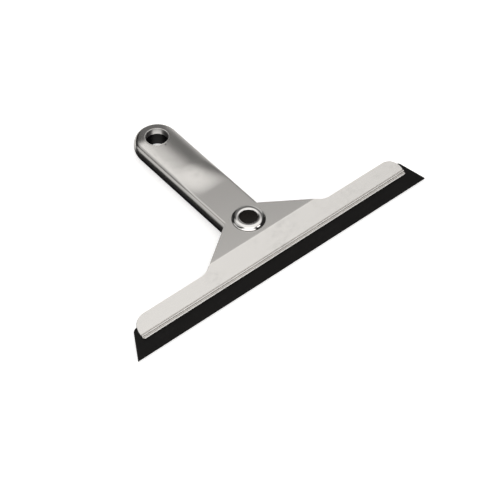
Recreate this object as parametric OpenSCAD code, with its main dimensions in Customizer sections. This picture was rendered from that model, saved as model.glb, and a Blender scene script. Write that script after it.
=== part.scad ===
// Window cleaning squeegee: a pressed T-shaped head plate on a flat two-part grip,
// with a rubber wiping blade held between the plate and a clamp plate below it.
// It lies as it rests on a table: grip underside and wiping edge on Z = 0,
// X along the blade, +Y towards the hanging hole, origin below the middle of its box.

/* [Head plate] */
// Thickness of the pressed sheet
plate_t = 1.5; // [1:0.1:2]
// Angle that the blade bar is bent down from the grip's plane
head_tilt = 25; // [18:1:32]
// Length of the blade bar
bar_w = 274; // [220:1:300]
// Slant distance from the bend to the wings' rear edge
bar_rear = 4.6; // [2:0.1:8]
// Slant distance from the bend to the front lip
bar_front = 23; // [20:0.5:26]
// Radius of the bar's rear corners
bar_corner_r = 12; // [6:0.5:14]
// Radius of the bar's front corners
bar_lip_r = 3; // [1:0.5:4]
// Radius of the plate's rounded tongue around the joint
tongue_r = 16.9; // [16:0.1:18]
// Angle between the gusset's edges and the grip's axis
gusset_angle = 55.3; // [50:0.1:60]
// Distance from the joint to the bend
bend_y = 17.7; // [17:0.1:19]
// Radius between the gusset's edges and the wings
root_fillet_r = 18; // [8:1:30]
// Width of each pressed bead along the front lip
bead_w = 1.9; // [1.4:0.1:2.2]
// Height of each bead above the face
bead_h = 0.65; // [0.3:0.05:1]
// Width of the groove behind each bead
groove_w = 0.65; // [0.3:0.05:1]
// Depth of the grooves
groove_d = 0.5; // [0.2:0.05:0.8]

/* [Rubber blade] */
// Length of the wiping edge
blade_w = 300; // [250:1:320]
// Slant distance from the bend to the wiping edge
reach = 34.1; // [32:0.1:36]
// Slant distance from the bend to the rubber's rear edge
blade_rear = 11.2; // [10.5:0.1:13]
// Thickness of the rubber
rubber_t = 2.4; // [2:0.1:3]
// Gap between the rubber and each jaw
rubber_gap = 0.05; // [0.02:0.01:0.1]
// Angle by which the rubber's ends splay out towards the wiping edge
splay = 27.4; // [15:0.1:35]
// Radius of the rubber's rear corners
blade_corner_r = 4; // [1:0.5:5]
// Slant distance from the front lip to the line where the rubber bends
flex_lead = 0.6; // [0.5:0.1:1]
// Gap between the two solids of the rubber at that line
flex_gap = 0.05; // [0.03:0.01:0.1]

/* [Clamp] */
// Thickness of the clamp plate
clamp_t = 1.2; // [0.8:0.1:1.6]
// Slant distance from the bend to the clamp plate's rear edge
clamp_rear = 6.4; // [5.5:0.1:7]
// Slant distance from the bend to the clamp plate's front edge
clamp_front = 22; // [19:0.5:22.5]
// How much shorter than the bar the clamp plate is at each end
clamp_inset = 3; // [1:0.5:8]
// Slant width of the spacer bar behind the rubber
spacer_w = 4.2; // [3.5:0.1:4.4]
// How much shorter than the clamp plate the spacer bar is at each end
spacer_inset = 6; // [2:1:12]
// Radius of the clamp screws' threads
clamp_screw_r = 1.25; // [1:0.05:1.3]
// Distance between neighbouring clamp screws
clamp_screw_pitch = 58; // [45:1:60]

/* [Grip] */
// Half of the grip's width at its widest
grip_half_w = 19.5; // [18:0.1:21]
// Distance from the joint to the hanging hole
hole_y = 118.7; // [105:0.1:130]
// Radius of the curve of the grip's sides
side_r = 14; // [12:0.5:16]
// Half width of the flat bottom
base_half_w = 14.5; // [13:0.1:15.5]
// Height by which the crowned part rises above the flat top
crown_h = 2.2; // [1:0.1:2.6]
// Radius of the crown's curve across the grip
crown_r = 60; // [52:1:90]
// Distance from the joint to where the crown begins to rise
crown_start = 44; // [30:1:60]
// Distance from the joint to where the crown is at full height
crown_full = 78; // [66:1:95]
// Radius of the shoulder beside the flat top
shoulder_flat = 1.8; // [1:0.1:2.5]
// Radius of the shoulder beside the crown
shoulder_crown = 5; // [3:0.1:6]
// Height of the line where the metal shell meets the moulded back
parting_z = 8.4; // [7:0.1:9]
// Wall thickness of the shell and the back
wall = 2.6; // [2:0.1:3]
// Radius of the hanging hole
hole_r = 9.6; // [8:0.1:10]

/* [Joint] */
// Outer radius of the polished ring
ring_r = 13.7; // [12:0.1:14.5]
// Radius of the ring's inner edge
ring_inner_r = 7.6; // [7:0.1:8]
// Height of the ring's crest above its gasket
ring_h = 2.6; // [2:0.1:3.5]
// Height of the ring's inner edge above its gasket
ring_edge_h = 2; // [1.5:0.1:2.5]
// Radius of the ring's spigot
spigot_r = 7; // [6.8:0.05:7.1]
// Radius of the main screw's thread
main_screw_r = 2.5; // [2:0.1:3]
// Radius of the locating pins
pin_r = 1.5; // [1:0.1:1.5]

/* [Hidden] */
$fn = 64;
CLAMP_SCREWS = 5;
BACK_SCREWS = 3;
PINS = 2;
function numbered(name, n) = [for (i = [1:n]) str(name, "_", i)];

// ---- derived places, all from the dimensions above ----
slot_t = rubber_t + 2*rubber_gap;              // height of the slot that holds the rubber
rubber_top = plate_t + rubber_gap;             // depth of the rubber's upper face
rubber_low = rubber_top + rubber_t;            // depth of the rubber's lower face
clamp_top = plate_t + slot_t;                  // depth of the clamp plate's upper face
stand_h = reach*sin(head_tilt) + rubber_low*cos(head_tilt);   // height of the plate's top face
grip_top = stand_h - plate_t;                  // height of the grip's flat top
edge_y = -bend_y - reach*cos(head_tilt) + rubber_top*sin(head_tilt);  // foremost point
end_y = hole_y + grip_half_w;                  // end of the grip
mid_y = (end_y + edge_y)/2;                    // middle of the whole length
flex_v = bar_front + flex_lead;                // slant place of the rubber's bending line
flex_d = rubber_top + rubber_t/2;              // depth of the rubber's bending line
bar_half = bar_w/2;
blade_half = blade_w/2;
clamp_half = bar_half - clamp_inset;
spacer_half = clamp_half - spacer_inset;
spacer_rear = blade_rear - 0.3 - spacer_w;
clamp_screw_v = spacer_rear + spacer_w/2;
clamp_head_r = clamp_screw_r + 1.1;
clamp_head_h = 1;
gusset_slope = tan(gusset_angle);
gusset_half = tongue_r/cos(gusset_angle) + bend_y*gusset_slope;  // its half width at the bend
side_x = grip_half_w - side_r;                 // centre of the grip's side curve
side_z = 9;                                    // height of the grip's widest line
front_y = 3.5;                                 // centre of the grip's round front end
wall_half = grip_half_w - wall - 0.9;          // half width of the hollow
lip_t = 1.4;                                   // thickness of the back's locating lip
lip_h = 1.6;                                   // height of the back's locating lip
fit = 0.1;                                     // clearance between fitted covers
hollow_top = grip_top - wall;                  // roof of the hollow
eyelet_t = 0.8;                                // wall of the hanging hole's eyelet
eyelet_low = 12;                               // height of the eyelet's lower edge
collar_r = hole_r + 2.8;                       // collar around the hanging hole
cup_floor = grip_top - 5.2;                    // underside of the ring's cup
cup_t = 1.4;                                   // thickness of the cup's floor
insert_r = 3.6;
insert_low = 4.2;                              // height of the threaded insert's lower end
insert_boss_r = 7.5;
cup_boss_r = 14;
boss_r = 4;                                    // bosses of the screws through the back
boss_low = parting_z - 5.4;                    // height where those of shell and back meet
gasket_t = 0.3;
washer_t = 0.9;
main_head_h = 3.2;
main_head_r = 4.4;
pin_x = 10.4;
pin_depth = 5;
tap_gap = 0.03;                                // clearance of a thread drawn plain
screw_play = 0.15;                             // clearance of a screw in its plain hole
back_screw_ys = [30, 62, 94];
back_screw_r = 1.6;
back_head_r = 3.1;
back_head_h = 1.7;
back_head_sink = 0.5;
back_thread = 4.5;                             // length of thread in the shell's bosses
flex_relief = 0.65;                            // cut-back behind the rubber's bending line
through = 1;                                   // how far a cut runs past the solid it cuts
weld = 0.5;                                    // how far joined bosses run into each other
shrink = 0.05;                                 // small clearance of pressed-in and sunk parts
drive_depth = 0.6;                             // depth of a screw's drive, as a share of its head
clamp_drive_r = 0.8;
back_drive_r = 1.3;
main_drive_r = 2.3;
main_drive_depth = 1.8;
screw_short = 0.6;                             // clearance above the clamp screws' tips
main_screw_gap = 0.4;                          // clearance below the main screw's tip
washer_r = 4.3;
washer_slit = 0.6;                             // width of the spring washer's split
washer_slit_a = 20;                            // direction of that split
eyelet_roll_h = 0.6;                           // height of the eyelet's rolled edge
eyelet_roll_low = 0.3;                         // how far that edge starts below the crown
gasket_edge = 0.2;                             // how far the gasket shows beyond the ring
crest_in = 1.2;                                // how far the ring's crest lies inside its middle
ring_bore_gap = 0.2;                           // clearance of the main screw in the ring's cup
cap_sink = 0.35;                               // how far the cap lies below the ring's inner edge
cap_plug_h = 1.2;                              // length of the cap's plug
cap_plug_gap = 0.02;                           // clearance of that plug
back_collar_r = cup_boss_r + 1;                // room round the cup's boss in the back's lip
form_span = 400;                               // wider than the whole part, for cuts at a height

module whole() { translate([0, -mid_y, 0]) children(); }

// The bar's own frame: X along the bar, Y back towards the bend, Z up from the bar's face
module on_bar() { translate([0, -bend_y, stand_h]) rotate([head_tilt, 0, 0]) children(); }

// A slab of the bar's frame between two depths
module slab(depth, t) { translate([0, 0, -depth - t]) linear_extrude(t) children(); }

function rise(u) = u <= 0 ? 0 : u >= 1 ? 1 : u*u*(3 - 2*u);
function arc(c, r, a0, a1, n, first = 0) =
    [for (i = [first:n]) let(a = a0 + (a1 - a0)*i/n) c + r*[sin(a), cos(a)]];

// ---- plan shapes ----

module stadium(r, y0, y1) {
    translate([0, y0]) circle(r);
    translate([0, y1]) circle(r);
    translate([-r, y0]) square([2*r, y1 - y0]);
}

function arc_xy(c, r, a0, a1, n) =
    [for (i = [0:n]) let(a = a0 + (a1 - a0)*i/n) c + r*[cos(a), sin(a)]];
function mirrored(half) = concat(half, [for (i = [len(half) - 1:-1:0]) [-half[i][0], half[i][1]]]);

// The rounded right end of a strip that runs from v0 to v1 along the slant
function strip_end(half, v0, v1, rear_r, front_r) = concat(
    arc_xy([half - rear_r, -v0 - rear_r], rear_r, 90, 0, 12),
    arc_xy([half - front_r, -v1 + front_r], front_r, 0, -90, 6));

module strip(half, v0, v1, rear_r, front_r) {
    polygon(mirrored(strip_end(half, v0, v1, rear_r, front_r)));
}

// Half of the rubber's length at a slant place: its ends splay out towards the wiping edge
function blade_half_at(v) = blade_half - (reach - v)*tan(splay);

// The rubber's outline from v0 to v1, with its rear corners rounded by r
module blade_outline(v0, v1, r = 0) {
    round_x = blade_half_at(v0) + r*tan(splay) - r/cos(splay);
    rear = r == 0 ? [[round_x, -v0]] : arc_xy([round_x, -v0 - r], r, 90, splay, 6);
    polygon(mirrored(concat(rear, [[blade_half_at(v1), -v1]])));
}

// The gusset and its tongue, in the plane of the grip's top
module gusset_outline() {
    polygon(concat([[-gusset_half, -bend_y], [gusset_half, -bend_y]],
                   arc_xy([0, 0], tongue_r, gusset_angle, 180 - gusset_angle, 20)));
}

// The bar below the bend, with a fillet between each edge of the gusset and its wing
module bar_outline() {
    fillet_v = bar_rear - root_fillet_r;
    fillet_x = gusset_half + fillet_v*gusset_slope + root_fillet_r/cos(gusset_angle);
    polygon(mirrored(concat(
        [[gusset_half, 0]],
        arc_xy([fillet_x, -fillet_v], root_fillet_r, 180 + gusset_angle, 270, 8),
        strip_end(bar_half, bar_rear, bar_front, bar_corner_r, bar_lip_r))));
}

// ---- head ----

// The arc over a bead whose front edge is at v_front, from its rear edge to its front edge
function bead_arc(v_front) =
    let(r = (bead_w*bead_w/4 + bead_h*bead_h)/(2*bead_h), half_a = asin(bead_w/2/r))
    arc_xy([-v_front + bead_w/2, bead_h - r], r, 90 - half_a, 90 + half_a, 8);

// The bar's cross-section, with a groove behind each bead
module bar_section() {
    bead_2 = bar_front - bead_w - groove_w;
    groove_2 = bead_2 - bead_w - groove_w;
    polygon(concat(
        [[0, -plate_t], [0, 0], [-groove_2, 0], [-groove_2, -groove_d],
         [-groove_2 - groove_w, -groove_d]],
        bead_arc(bead_2),
        [[-bead_2, -groove_d], [-bead_2 - groove_w, -groove_d]],
        bead_arc(bar_front),
        [[-bar_front, -plate_t]]));
}

module bar() {
    intersection() {
        linear_extrude(4*plate_t, center = true) bar_outline();
        rotate([90, 0, 90]) linear_extrude(bar_w + 2, center = true) bar_section();
    }
}

module head_plate() {
    color("silver") whole() difference() {
        union() {
            translate([0, 0, grip_top]) linear_extrude(plate_t) gusset_outline();
            on_bar() bar();
        }
        post(0, grip_top - through, stand_h + through, spigot_r + fit);
        for (s = [-1, 1]) translate([s*pin_x, 0, grip_top - through])
            cylinder(r = pin_r + tap_gap, h = plate_t + 2*through);
    }
}

module spacer_bar() {
    color("dimgray") whole() on_bar() difference() {
        slab(plate_t, slot_t)
            strip(spacer_half, spacer_rear, spacer_rear + spacer_w, 1, 1);
        for (i = [1:CLAMP_SCREWS]) at_clamp_screw(i)
            translate([0, 0, -clamp_top - 1]) cylinder(r = clamp_screw_r + tap_gap, h = slot_t + 0.6);
    }
}

module at_clamp_screw(i) {
    translate([(i - (CLAMP_SCREWS + 1)/2)*clamp_screw_pitch, -clamp_screw_v, 0]) children();
}

module clamp_plate() {
    color("gainsboro") whole() on_bar() difference() {
        slab(clamp_top, clamp_t) strip(clamp_half, clamp_rear, clamp_front, 6, 2);
        for (i = [1:CLAMP_SCREWS]) at_clamp_screw(i) {
            translate([0, 0, -clamp_top - clamp_t - through])
                cylinder(r = clamp_screw_r + screw_play, h = clamp_t + 2*through);
            translate([0, 0, -clamp_top - clamp_t])
                cylinder(r1 = clamp_head_r + screw_play, r2 = clamp_screw_r + screw_play,
                         h = clamp_head_h + shrink);
        }
    }
}

// Countersunk screw: its head's face at z = 0, its shank upwards
module flush_screw(shank_r, head_r, head_h, length, drive_r) {
    difference() {
        union() {
            cylinder(r1 = head_r, r2 = shank_r, h = head_h);
            cylinder(r = shank_r, h = length);
        }
        translate([0, 0, -0.01]) cylinder(r = drive_r, h = head_h*drive_depth, $fn = 6);
    }
}

module clamp_screw(i) {
    color("lightgray") whole() on_bar() at_clamp_screw(i)
        translate([0, 0, -clamp_top - clamp_t + shrink])
            flush_screw(clamp_screw_r, clamp_head_r, clamp_head_h,
                        clamp_t + slot_t - screw_short, clamp_drive_r);
}

// ---- rubber: one moulding, drawn as two solids that part at its bending line ----

module bending_line(r) {
    translate([0, -flex_v, -flex_d]) rotate([0, 90, 0])
        cylinder(r = r, h = blade_w + 2*through, center = true);
}

module blade_root() {
    color("black") whole() on_bar() difference() {
        slab(rubber_top, rubber_t) blade_outline(blade_rear, flex_v - flex_relief, blade_corner_r);
        bending_line(rubber_t/2 + flex_gap);
    }
}

module blade_lip() {
    color("black") whole() on_bar() intersection() {
        slab(rubber_top, rubber_t) blade_outline(flex_v - rubber_t/2, reach);
        union() {
            bending_line(rubber_t/2);
            slab(rubber_top, rubber_t) blade_outline(flex_v, reach);
        }
    }
}

// ---- grip ----

// Radius of the curve that joins the flat bottom, half_w wide, to the side curve h above it
function corner_r(half_w, h) =
    (side_r*side_r - h*h - pow(half_w - side_x, 2))/(2*(side_r - h));

base_r = corner_r(base_half_w, side_z);
base_a = atan2(base_half_w - side_x, side_z - base_r);
FLATTEST = 0.0005;                             // share of the crown's curve in the flat top

// Where two circles around p and q, with radii a and b, cross on the side of larger x
function crossing(p, a, q, b) =
    let(l = norm(q - p), e = (q - p)/l, along = (a*a - b*b + l*l)/(2*l),
        off = sqrt(a*a - along*along))
    p + along*e + off*[e[1], -e[0]];

// Half of the grip's cross-section where the crown has the share s of its height: over the
// crown, round the shoulder, down the side and round to the flat bottom
function half_section(s) =
    let(big_r = crown_r/max(s, FLATTEST), low = [0, grip_top + s*crown_h - big_r],
        r = shoulder_flat + (shoulder_crown - shoulder_flat)*s, side = [side_x, side_z],
        c = crossing(low, big_r - r, side, side_r - r),
        a0 = asin(c[0]/(big_r - r)), a1 = atan2(c[0] - side_x, c[1] - side_z))
    concat(
        arc(low, big_r, 0, a0, 6, 1),
        arc(c, r, a0, a1, 4, 1),
        arc(side, side_r, a1, 180 - base_a, 7, 1),
        arc([base_half_w, base_r], base_r, 180 - base_a, 180, 4, 1));

// The sections stand along the middle line and fan out round the two ends
SPINE = concat([front_y], [for (i = [0:6]) crown_start + (crown_full - crown_start)*i/6],
               [hole_y]);
SHARE = [for (y = SPINE) rise((y - crown_start)/(crown_full - crown_start))];
LAST = len(SPINE) - 1;
FAN = 14;
STATIONS = concat(
    [for (k = [0:LAST]) [k, 0]], [for (i = [1:FAN - 1]) [LAST, 180*i/FAN]],
    [for (k = [LAST:-1:0]) [k, 180]], [for (i = [1:FAN - 1]) [0, 180 + 180*i/FAN]]);

module grip_form() {
    m = len(STATIONS);
    n = len(half_section(0));
    points = concat(
        [for (st = STATIONS) for (p = half_section(SHARE[st[0]]))
            [p[0]*cos(st[1]), SPINE[st[0]] + p[0]*sin(st[1]), p[1]]],
        [for (k = [0:LAST]) [0, SPINE[k], grip_top + SHARE[k]*crown_h]],
        [for (k = [0:LAST]) [0, SPINE[k], 0]]);
    top0 = m*n;
    low0 = top0 + LAST + 1;
    sides = [for (i = [0:m - 1]) for (j = [0:n - 2])
        let(a = i*n + j, b = a + 1, d = ((i + 1) % m)*n + j, c = d + 1)
        each [[a, d, c], [a, c, b]]];
    middles = [for (i = [0:m - 1])
        let(k = STATIONS[i][0], k2 = STATIONS[(i + 1) % m][0], a = i*n, d = ((i + 1) % m)*n)
        each concat(
            [[top0 + k, d, a], [low0 + k, a + n - 1, d + n - 1]],
            k == k2 ? [] : [[top0 + k, top0 + k2, d], [low0 + k, d + n - 1, low0 + k2]])];
    polyhedron(points, concat(sides, middles));
}

// An upright cylinder on the grip's middle line, y from the joint
module post(y, z0, z1, r) { translate([0, y, z0]) cylinder(r = r, h = z1 - z0); }

module hollow(z0, z1, half_w, y0, y1) {
    translate([0, 0, z0]) linear_extrude(z1 - z0) stadium(half_w, y0, y1);
}

module grip_shell() {
    color("darkgray") whole() difference() {
        union() {
            difference() {
                intersection() {
                    grip_form();
                    translate([-form_span/2, -form_span/2, parting_z])
                        cube([form_span, form_span, grip_top]);
                }
                hollow(parting_z - through, hollow_top, wall_half, front_y, hole_y);
            }
            post(0, parting_z, hollow_top + weld, cup_boss_r);
            post(0, insert_low - weld, hollow_top, insert_boss_r);
            post(hole_y, eyelet_low, hollow_top + weld, collar_r);
            for (y = back_screw_ys) post(y, boss_low, hollow_top + weld, boss_r);
        }
        post(0, cup_floor, grip_top + through, spigot_r + fit);
        post(0, insert_low, cup_floor + through, insert_r);
        for (s = [-1, 1]) translate([s*pin_x, 0, grip_top - pin_depth])
            cylinder(r = pin_r, h = pin_depth + through);
        post(hole_y, 0, grip_top + crown_h + through, hole_r + eyelet_t);
        for (y = back_screw_ys) post(y, boss_low - through, boss_low + back_thread + through,
                                     back_screw_r + tap_gap);
    }
}

module grip_back() {
    color([0.06, 0.06, 0.06]) whole() difference() {
        union() {
            difference() {
                intersection() {
                    grip_form();
                    translate([-form_span/2, -form_span/2, 0])
                        cube([form_span, form_span, parting_z - 0.01]);
                }
                hollow(wall, grip_top, wall_half, front_y, hole_y);
            }
            difference() {
                hollow(wall, parting_z + lip_h, wall_half - fit, front_y, hole_y);
                hollow(wall - through, grip_top, wall_half - fit - lip_t, front_y, hole_y);
                post(0, parting_z - fit, parting_z + lip_h + through, back_collar_r);
            }
            post(hole_y, weld, eyelet_low - fit, collar_r);
            for (y = back_screw_ys) post(y, weld, boss_low - fit, boss_r);
        }
        post(hole_y, -through, eyelet_low + through, hole_r);
        for (y = back_screw_ys) {
            post(y, -through, boss_low + through, back_screw_r + screw_play);
            post(y, -through, back_head_sink, back_head_r + screw_play);
            translate([0, y, back_head_sink])
                cylinder(r1 = back_head_r + screw_play, r2 = back_screw_r + screw_play,
                         h = back_head_h);
        }
    }
}

module back_screw(i) {
    color("dimgray") whole() translate([0, back_screw_ys[i - 1], back_head_sink])
        flush_screw(back_screw_r, back_head_r, back_head_h, boss_low + back_thread - back_head_sink,
                    back_drive_r);
}

// Polished lining of the hanging hole's upper part, with a rolled edge on the crown
module hang_eyelet() {
    rim_r = hole_r + eyelet_t;
    top = grip_top + crown_h - rim_r*rim_r/(2*crown_r);
    color("white") whole() translate([0, hole_y, 0]) rotate_extrude()
        polygon(concat([[hole_r, eyelet_low], [rim_r, eyelet_low]],
            [for (a = [90:-15:0])
                [hole_r + eyelet_t*sin(a), top - eyelet_roll_low + eyelet_roll_h*cos(a)]]));
}

// ---- joint ----

module ring_gasket() {
    color("black") whole() translate([0, 0, stand_h]) difference() {
        cylinder(r = ring_r + gasket_edge, h = gasket_t);
        translate([0, 0, -through]) cylinder(r = spigot_r + fit, h = gasket_t + 2*through);
    }
}

// Ring with a cup below it: the spigot centres the plate, and the cup holds the screw
module joint_ring() {
    base = stand_h + gasket_t;
    crest = (ring_r + ring_inner_r)/2 - crest_in;
    bore_r = main_screw_r + ring_bore_gap;
    cup_r = spigot_r - 1;
    color("white") whole() rotate_extrude($fn = 96) polygon(concat(
        [[bore_r, cup_floor], [spigot_r, cup_floor], [spigot_r, base], [ring_r, base]],
        [for (a = [15:15:90]) [crest + (ring_r - crest)*cos(a), base + ring_h*sin(a)]],
        [for (a = [75:-25:25]) [ring_inner_r + (crest - ring_inner_r)*(1 - cos(a)),
                                base + ring_edge_h + (ring_h - ring_edge_h)*sin(a)]],
        [[ring_inner_r, base + ring_edge_h], [ring_inner_r, base], [cup_r, base],
         [cup_r, cup_floor + cup_t], [bore_r, cup_floor + cup_t]]));
}

module ring_cap() {
    base = stand_h + gasket_t;
    color([0.1, 0.09, 0.08]) whole() {
        translate([0, 0, base]) cylinder(r = ring_inner_r - shrink, h = ring_edge_h - cap_sink);
        translate([0, 0, base - cap_plug_h])
            cylinder(r = spigot_r - 1 - cap_plug_gap, h = cap_plug_h + shrink);
    }
}

module main_screw() {
    under = cup_floor + cup_t + washer_t;
    color("lightgray") whole() difference() {
        union() {
            translate([0, 0, under]) cylinder(r = main_head_r, h = main_head_h);
            translate([0, 0, insert_low + main_screw_gap])
                cylinder(r = main_screw_r, h = under - insert_low);
        }
        translate([0, 0, under + main_head_h - main_drive_depth])
            cylinder(r = main_drive_r, h = main_drive_depth + through, $fn = 6);
    }
}

module spring_washer() {
    color("gray") whole() translate([0, 0, cup_floor + cup_t]) difference() {
        cylinder(r = washer_r, h = washer_t);
        translate([0, 0, -through]) cylinder(r = main_screw_r + fit, h = washer_t + 2*through);
        translate([0, 0, -through]) rotate([0, 0, washer_slit_a])
            cube([washer_r + through, washer_slit, washer_t + 2*through]);
    }
}

module thread_insert() {
    color("gold") whole() translate([0, 0, insert_low]) difference() {
        cylinder(r = insert_r, h = cup_floor - insert_low);
        translate([0, 0, -through]) cylinder(r = main_screw_r + tap_gap, h = cup_floor);
    }
}

module locating_pin(i) {
    color("gray") whole() translate([(2*i - 3)*pin_x, 0, grip_top - pin_depth])
        cylinder(r = pin_r, h = pin_depth + plate_t - fit);
}

head_plate();
spacer_bar();
clamp_plate();
for (i = [1:CLAMP_SCREWS])
    clamp_screw(i);
grip_shell();
grip_back();
for (i = [1:BACK_SCREWS])
    back_screw(i);
hang_eyelet();
ring_gasket();
joint_ring();
ring_cap();
main_screw();
spring_washer();
thread_insert();
for (i = [1:PINS])
    locating_pin(i);
blade_root();
blade_lip();
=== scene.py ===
"""Looks of a window cleaning squeegee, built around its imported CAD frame.

The tool lies on a pale floor under soft studio light. Its parts are a pressed T-shaped head plate
with two polished beads, a satin grip with a crowned rear half, a polished joint ring, a lined
hanging hole and a black rubber wiping blade. All lengths are in metres unless a name says
otherwise. X runs along the blade, +Y towards the hanging hole and +Z up.
"""

import logging
import math
from collections.abc import Callable, Sequence
from dataclasses import dataclass, field, replace
from enum import Enum

import bmesh
import bpy
import numpy as np
from mathutils import Matrix, Vector
from numpy.typing import NDArray


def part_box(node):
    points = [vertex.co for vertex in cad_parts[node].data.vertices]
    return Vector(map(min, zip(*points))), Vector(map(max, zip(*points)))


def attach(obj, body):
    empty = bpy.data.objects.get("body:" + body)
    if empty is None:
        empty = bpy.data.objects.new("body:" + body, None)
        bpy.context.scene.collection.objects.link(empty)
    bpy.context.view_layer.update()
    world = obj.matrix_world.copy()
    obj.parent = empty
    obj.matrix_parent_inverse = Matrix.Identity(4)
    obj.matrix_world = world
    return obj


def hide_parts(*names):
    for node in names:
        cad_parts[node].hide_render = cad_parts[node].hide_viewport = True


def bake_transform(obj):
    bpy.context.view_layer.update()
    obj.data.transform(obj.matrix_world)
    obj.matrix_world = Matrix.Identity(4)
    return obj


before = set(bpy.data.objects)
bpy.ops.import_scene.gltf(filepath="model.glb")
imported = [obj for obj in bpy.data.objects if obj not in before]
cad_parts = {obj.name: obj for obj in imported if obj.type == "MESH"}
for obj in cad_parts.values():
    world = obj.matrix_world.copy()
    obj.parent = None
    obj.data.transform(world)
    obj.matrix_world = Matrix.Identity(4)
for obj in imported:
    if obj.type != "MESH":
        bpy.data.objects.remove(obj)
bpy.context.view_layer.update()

LOG = logging.getLogger("squeegee")
MM = 0.001
MICROMETRE = 1e-6
MERGE = 4.0 * MICROMETRE
REST_PLACE = "rest_place"

Array = NDArray[np.float64]
Colour = tuple[float, float, float]
Setting = float | Sequence[float] | bpy.types.NodeSocket
Edge = int | slice | tuple[int | slice, int | slice]


class Body(Enum):
    """The bodies that pieces ride on."""

    SQUEEGEE = "squeegee"
    BLADE = "blade"
    LIP = "wiping_lip"


# ---------------------------------------------------------------- surfaces


def smooth_rise(x: Array, low: float, high: float) -> Array:
    """Rises from 0 at low to 1 at high along the curve t*t*(3 - 2t).

    Args:
        x: Where to read the curve.
        low: Where it leaves 0.
        high: Where it reaches 1.

    Returns:
        The curve's values, one for each x.
    """
    t = np.clip((x - low) / (high - low), 0.0, 1.0)
    return t * t * (3.0 - 2.0 * t)


def joined(*pieces: Array | Sequence[float]) -> Array:
    """Sorted distinct values of several arrays, closer ones than a micrometre taken as one."""
    values = np.sort(np.concatenate([np.atleast_1d(np.asarray(p, float)) for p in pieces]))
    keep = np.concatenate([[True], np.diff(values) > MICROMETRE])
    return values[keep]


@dataclass
class Patchwork:
    """Surface grids that are joined into one mesh.

    A grid is an array of shape (rows, columns, 3), a function of two parameters. Neighbouring
    points become the corners of its faces.
    """

    points: list[Array] = field(default_factory=list)
    faces: list[NDArray[np.int64]] = field(default_factory=list)
    count: int = 0

    def add(self, grid: Array, loop_rows: bool = False, loop_columns: bool = False) -> None:
        """Adds a grid's points and faces.

        Args:
            grid: Points of shape (rows, columns, 3).
            loop_rows: Whether the last row joins the first.
            loop_columns: Whether the last column joins the first.
        """
        rows, columns = grid.shape[:2]
        index = np.arange(rows * columns).reshape(rows, columns) + self.count
        if loop_rows:
            index = np.concatenate([index, index[:1]])
        if loop_columns:
            index = np.concatenate([index, index[:, :1]], axis=1)
        corners = (index[:-1, :-1], index[1:, :-1], index[1:, 1:], index[:-1, 1:])
        self.faces.append(np.stack(corners, axis=-1).reshape(-1, 4))
        self.points.append(grid.reshape(-1, 3))
        self.count += rows * columns

    def add_slab(self, top: Array, low: Array, edges: Sequence[Edge]) -> None:
        """Adds an upper and a lower grid of one shape, and walls between some of their edges.

        Args:
            top: The upper grid.
            low: The lower grid.
            edges: Indices of the rows or columns where a wall joins the two.
        """
        self.add(top)
        self.add(low)
        for edge in edges:
            self.add(np.stack([top[edge], low[edge]]))

    def build(self, name: str, sharp_deg: float = 35.0) -> bpy.types.Object:
        """Joins the grids into one object with its faces outwards.

        Args:
            name: Name of the new object.
            sharp_deg: Edges that turn by more than this are shaded sharp.

        Returns:
            The object, at the origin, with its place in its mesh.
        """
        mesh = bpy.data.meshes.new(name)
        mesh.from_pydata(np.concatenate(self.points), [], np.concatenate(self.faces).tolist())
        clean(mesh)
        return new_object(name, mesh, sharp_deg)


def clean(mesh: bpy.types.Mesh, flat_deg: float = 0.0) -> None:
    """Merges a mesh's doubles, drops empty faces and turns the faces outwards.

    Args:
        mesh: The mesh to change.
        flat_deg: Faces that turn by less than this become one, where it is above 0.
    """
    made = bmesh.new()
    made.from_mesh(mesh)
    bmesh.ops.remove_doubles(made, verts=made.verts, dist=MERGE)
    bmesh.ops.dissolve_degenerate(made, edges=made.edges, dist=MERGE)
    if flat_deg > 0.0:
        bmesh.ops.dissolve_limit(made, verts=made.verts, edges=made.edges,
                                 angle_limit=math.radians(flat_deg))
    bmesh.ops.recalc_face_normals(made, faces=made.faces)
    made.to_mesh(mesh)
    made.free()


def new_object(name: str, mesh: bpy.types.Mesh, sharp_deg: float) -> bpy.types.Object:
    """Links a mesh into the scene, smooth but for its sharp edges.

    Args:
        name: Name of the object.
        mesh: Its mesh.
        sharp_deg: Edges that turn by more than this are shaded sharp.

    Returns:
        The new object.
    """
    mesh.shade_smooth()
    mesh.set_sharp_from_angle(angle=math.radians(sharp_deg))
    made = bpy.data.objects.new(name, mesh)
    bpy.context.scene.collection.objects.link(made)
    return made


def lathe(name: str, profile: Array, centre: tuple[float, float],
          segments: int = 144) -> bpy.types.Object:
    """Turns a closed profile about an upright axis.

    Each profile point (r, z) goes to (x + r cos a, y + r sin a, z) as a goes round.

    Args:
        name: Name of the new object.
        profile: Points (radius, height) of shape (n, 2).
        centre: The axis's x and y.
        segments: Number of steps round the axis.

    Returns:
        The new object.
    """
    turn = np.linspace(0.0, 2.0 * np.pi, segments, endpoint=False)[:, None]
    radius, height = profile[:, 0], profile[:, 1]
    grid = np.stack([centre[0] + np.cos(turn) * radius, centre[1] + np.sin(turn) * radius,
                     np.broadcast_to(height, (segments, len(profile)))], axis=-1)
    patches = Patchwork()
    patches.add(grid, loop_rows=True, loop_columns=True)
    return patches.build(name)


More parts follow.
